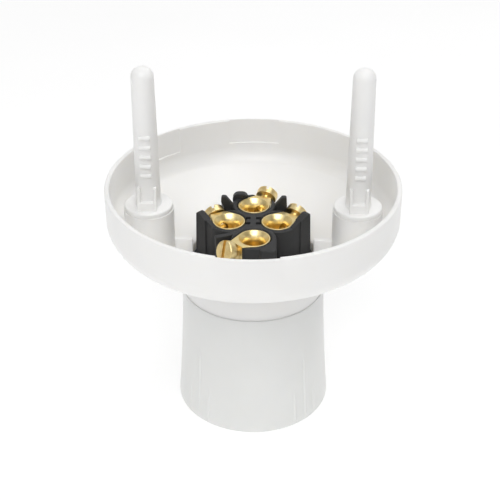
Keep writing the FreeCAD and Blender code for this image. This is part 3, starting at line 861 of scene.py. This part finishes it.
def turned_metal(name, centre, deep, bright, gloss):
    """Bright metal with turning rings about its bore, faint tarnish and uneven polish."""
    material, tree, shader, place = new_material(name)
    shader.inputs["Metallic"].default_value = 1.0
    tarnish = add_noise(tree, place, tarnish_scale)
    tree.links.new(add_colours(tree, tarnish, deep, bright), shader.inputs["Base Color"])
    polish = add_noise(tree, place, polish_scale)
    tree.links.new(add_range(tree, polish, *gloss), shader.inputs["Roughness"])
    centring = tree.nodes.new("ShaderNodeMapping")
    centring.inputs["Location"].default_value = (-centre[0] * millimetre, -centre[1] * millimetre, 0)
    tree.links.new(place, centring.inputs["Vector"])
    rings = tree.nodes.new("ShaderNodeTexWave")
    rings.wave_type = "RINGS"
    rings.rings_direction = "Z"
    rings.inputs["Scale"].default_value = ring_scale
    rings.inputs["Distortion"].default_value = ring_waver
    tree.links.new(centring.outputs["Vector"], rings.inputs["Vector"])
    marks = tree.nodes.new("ShaderNodeBump")
    marks.inputs["Strength"].default_value = ring_strength
    marks.inputs["Distance"].default_value = ring_depth
    tree.links.new(rings.outputs["Fac"], marks.inputs["Height"])
    tree.links.new(marks.outputs["Normal"], shader.inputs["Normal"])
    return material


def terminal(centre, direction, offset, tube_x):
    """Terminal in its place, with a tube for a spring and contact where one is wanted."""
    body = teardrop(terminal_radius, lug_reach, lug_half, offset, chamber_floor_z, funnel_z, terminal_edge)
    lip_z = funnel_z + funnel_lip_lift
    funnel = turned([
        (0, wire_bore_z, 0), (wire_bore_radius, wire_bore_z, 0),
        (wire_bore_radius, funnel_throat_z, funnel_round),
        (funnel_mouth, funnel_z - funnel_lip_drop, funnel_lip_round),
        (funnel_mouth + funnel_lip_flare, lip_z, 0), (0, lip_z, 0),
    ], steps=funnel_steps)
    screw_hole = on_screw_axis(drum(screw_hole_radius, 0, 2 * lug_reach, steps=small_hole_steps), offset)
    body = in_plan(combined(body, "DIFFERENCE", [funnel, screw_hole]), centre, direction)
    if tube_x is None:
        return body
    tube = drum(tube_radius, nose_z[1], chamber_floor_z + tube_root, (tube_x, 0), steps=hole_steps)
    bore = drum(tube_bore_radius, nose_z[1] - overcut, tube_bore_top_z, (tube_x, 0))
    return combined(combined(body, "UNION", [tube]), "DIFFERENCE", [bore])


tubes = {"active": contacts["left"], "neutral": contacts["right"]}
for terminal_name, (centre, direction, offset, _, _) in terminals.items():
    terminal_brass = turned_metal(f"{terminal_name}_brass", centre, brass_deep, brass_bright, brass_gloss)
    funnel_bm = terminal(centre, direction, offset, tubes.get(terminal_name))
    finished(f"{terminal_name}_funnel", funnel_bm, terminal_brass, "base",
             f"{terminal_name}_terminal")

# Terminal screws: cheese-head brass screws with a driver slot and a cut thread, duller than the terminals.
# Each goes through its terminal's lug on a slant and clamps the wire in the bore.
screw_radius = 2.1
screw_root = 1.7
screw_pitch = 0.7
screw_length = 5.1
screw_head_radius = 3.7
screw_head_height = 2.7
screw_end_round = 0.3
screw_neck_round = 0.1
screw_under_round = 0.15
screw_head_round = 0.5
screw_slot_half = 0.6
screw_slot_depth = 1.4
screw_steps = 64
thread_steps = 28
thread_sunk = 0.1
thread_foot = 0.9
thread_crest = (0.4, 0.5)
thread_end_gap = 0.3
thread_neck_gap = 0.1
screw_bright = (0.97, 0.79, 0.42, 1)
screw_deep = (0.80, 0.60, 0.27, 1)
screw_gloss = (0.24, 0.38)


def wind(bm, rise, turns, steps):
    """Sweep a section round the axis, with a climb at each step, into a closed coil."""
    bmesh.ops.spin(bm, geom=bm.verts[:] + bm.edges[:], cent=(0, 0, 0), axis=(0, 0, 1), dvec=(0, 0, rise),
                   angle=2 * pi * turns, steps=steps * turns, use_merge=False)
    close_ends(bm)


def thread(root, crest, pitch, low, high):
    """Helical ridge of a screw."""
    bm = bmesh.new()
    foot = root - thread_sunk
    section = [
        (foot, low), (foot, low + thread_foot * pitch),
        (crest, low + thread_crest[1] * pitch), (crest, low + thread_crest[0] * pitch),
    ]
    rounded_path(bm, [((radius, 0, z), 0) for radius, z in section])
    wind(bm, pitch / thread_steps, int((high - low) / pitch) - 1, thread_steps)
    return sealed(bm)


def slotted_screw(root, crest, length, head_radius, head_height, turn_deg):
    """Screw made along +Z with the underside of its head at zero."""
    body = turned([
        (0, -length, 0), (root, -length, screw_end_round), (root, 0, screw_neck_round),
        (head_radius, 0, screw_under_round), (head_radius, head_height, screw_head_round),
        (0, head_height, 0),
    ], steps=screw_steps)
    slot = box((-2 * head_radius, 2 * head_radius), (-screw_slot_half, screw_slot_half),
               (head_height - screw_slot_depth, head_height + overcut))
    slot.transform(Matrix.Rotation(radians(turn_deg), 4, "Z"))
    body = combined(body, "DIFFERENCE", [slot])
    cut_thread = thread(root, crest, screw_pitch, thread_end_gap - length, -thread_neck_gap)
    return combined(body, "UNION", [cut_thread])


for terminal_name, (centre, direction, offset, head_reach, slot_turn) in terminals.items():
    screw_bm = slotted_screw(
        screw_root, screw_radius, screw_length, screw_head_radius, screw_head_height, slot_turn)
    screw_bm.transform(Matrix.Translation((0, 0, head_reach)))
    screw_bm = in_plan(on_screw_axis(screw_bm, offset), centre, direction)
    screw_brass = turned_metal(
        f"{terminal_name}_screw_brass", centre, screw_deep, screw_bright, screw_gloss)
    finished(f"{terminal_name}_screw_slotted", screw_bm, screw_brass,
             f"{terminal_name}_screw", f"{terminal_name}_terminal_screw")

# Lamp barrel: the moulded tube under the block that takes a bayonet lamp cap, clamped by its flange to the
# ledge. Two hooked slots let the cap's pins in and hold them when the lamp is turned.
barrel_bore = 11.2
barrel_relief = 12.0
barrel_radius = 13.4
barrel_mouth_z = 26.5
barrel_step_z = 39.25
barrel_rounds = (0.4, 0.5, 0.2)
barrel_steps = 144
flange_z = (50.2, 52.2)
flange_radius = 21.7
flange_hole = 9.9
slot_places_deg = (90.0, 270.0)
slot_half = 1.35
slot_top_z = 39.0
slot_lock_z = 34.5
slot_turn_deg = 32.0
slot_edge = 0.3
slot_overreach = 2.0
slot_steps = 16
barrel_light = (0.76, 0.755, 0.73, 1)
barrel_dark = (0.73, 0.725, 0.70, 1)
barrel_gloss = (0.3, 0.4)

barrel_bm = turned([
    (barrel_bore, barrel_mouth_z, barrel_rounds[0]), (barrel_radius, barrel_mouth_z, barrel_rounds[1]),
    (barrel_radius, flange_z[0], 0), (flange_radius, flange_z[0], 0), (flange_radius, flange_z[1], 0),
    (flange_hole, flange_z[1], 0), (flange_hole, flange_z[0], 0), (barrel_relief, flange_z[0], 0),
    (barrel_relief, barrel_step_z, 0), (barrel_bore, barrel_step_z, barrel_rounds[2]),
], steps=barrel_steps)
barrel_cuts = []
slot_x = (barrel_bore - slot_overreach, barrel_radius + slot_overreach)
slot_y = (-slot_half, slot_half)
for slot_place in slot_places_deg:
    entry = box(slot_x, slot_y, (barrel_mouth_z - overcut, slot_top_z), slot_edge)
    lock = box(slot_x, slot_y, (slot_lock_z, slot_top_z), slot_edge)
    barrel_cuts += [
        in_plan(entry, (0, 0), slot_place),
        in_plan(lock, (0, 0), slot_place + slot_turn_deg),
        sector(slot_x, (slot_top_z - 2 * slot_half, slot_top_z), slot_place, slot_turn_deg, slot_steps),
        drum(retaining_hole_radius, flange_z[0] - overcut, flange_z[1] + overcut,
             (0, retaining_reach * sin(radians(slot_place))), steps=small_hole_steps),
    ]
barrel_bm = combined(barrel_bm, "DIFFERENCE", barrel_cuts)
barrel_plastic = moulded("barrel_plastic", barrel_dark, barrel_light, barrel_gloss)
finished("lamp_barrel", barrel_bm, barrel_plastic, "base", "bayonet_barrel")

# Contacts and springs: two brass plungers that press on the lamp cap, each backed by a coil spring in its
# tube. The plungers are turned, the springs are wound from steel wire, and the block's nose holds both in.
contact_tip_z = 39.5
plunger_tip_radius = 1.9
plunger_tip_round = 1.5
collar_z = (46.1, 48.6)
collar_radius = 2.3
collar_rounds = (0.1, 0.2)
stub_radius = 1.0
stub_top_z = 50.0
stub_rounds = (0.1, 0.2)
plunger_steps = 48
plunger_gloss = (0.18, 0.3)
spring_z = (48.93, 60.27)
spring_wire = 0.28
spring_wire_steps = 12
spring_coil = 1.85
spring_turns = 7
spring_steps = 32
steel_light = (0.62, 0.62, 0.63, 1)
steel_dark = (0.50, 0.50, 0.52, 1)
steel_gloss = (0.22, 0.36)


def spring(x):
    """Coil wound from the wire's round section."""
    bm = bmesh.new()
    section = Matrix.Translation((spring_coil, 0, spring_z[0])) @ Matrix.Rotation(pi / 2, 4, "X")
    bmesh.ops.create_circle(bm, segments=spring_wire_steps, radius=spring_wire, matrix=section)
    wind(bm, (spring_z[1] - spring_z[0]) / (spring_turns * spring_steps), spring_turns, spring_steps)
    bm.transform(Matrix.Translation((x, 0, 0)))
    return sealed(bm)


steel = turned_metal("spring_steel", (0, 0), steel_dark, steel_light, steel_gloss)
for contact_side, contact_x in contacts.items():
    plunger_bm = turned([
        (0, contact_tip_z, 0), (plunger_tip_radius, contact_tip_z, plunger_tip_round),
        (plunger_tip_radius, collar_z[0], 0), (collar_radius, collar_z[0], collar_rounds[0]),
        (collar_radius, collar_z[1], collar_rounds[1]), (stub_radius, collar_z[1], stub_rounds[0]),
        (stub_radius, stub_top_z, stub_rounds[1]), (0, stub_top_z, 0),
    ], (contact_x, 0), plunger_steps)
    contact_brass = turned_metal(
        f"{contact_side}_contact_brass", (contact_x, 0), brass_deep, brass_bright, plunger_gloss)
    finished(f"plunger_{contact_side}", plunger_bm, contact_brass, f"contact_{contact_side}",
             f"contact_plunger_{contact_side}")
    coil = finished(f"coil_{contact_side}", spring(contact_x), steel, "base",
                    f"plunger_spring_{contact_side}")
    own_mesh(coil)

# Retaining screws: two small plated steel screws, driven up from below through the ledge and the barrel's
# flange. They clamp the barrel and the terminal block to the dish.
retaining_root = 1.2
retaining_radius = 1.5
retaining_length = 9.0
retaining_head_radius = 2.5
retaining_head_height = 1.9

for retaining_side, retaining_y in (("front", -retaining_reach), ("back", retaining_reach)):
    retaining_bm = slotted_screw(retaining_root, retaining_radius, retaining_length, retaining_head_radius,
                                 retaining_head_height, 0)
    over = Matrix.Rotation(pi, 4, "X")
    retaining_bm.transform(Matrix.Translation((0, retaining_y, ledge_z[0])) @ over)
    finished(f"clamp_screw_{retaining_side}", retaining_bm, steel, "base",
             f"retaining_screw_{retaining_side}")
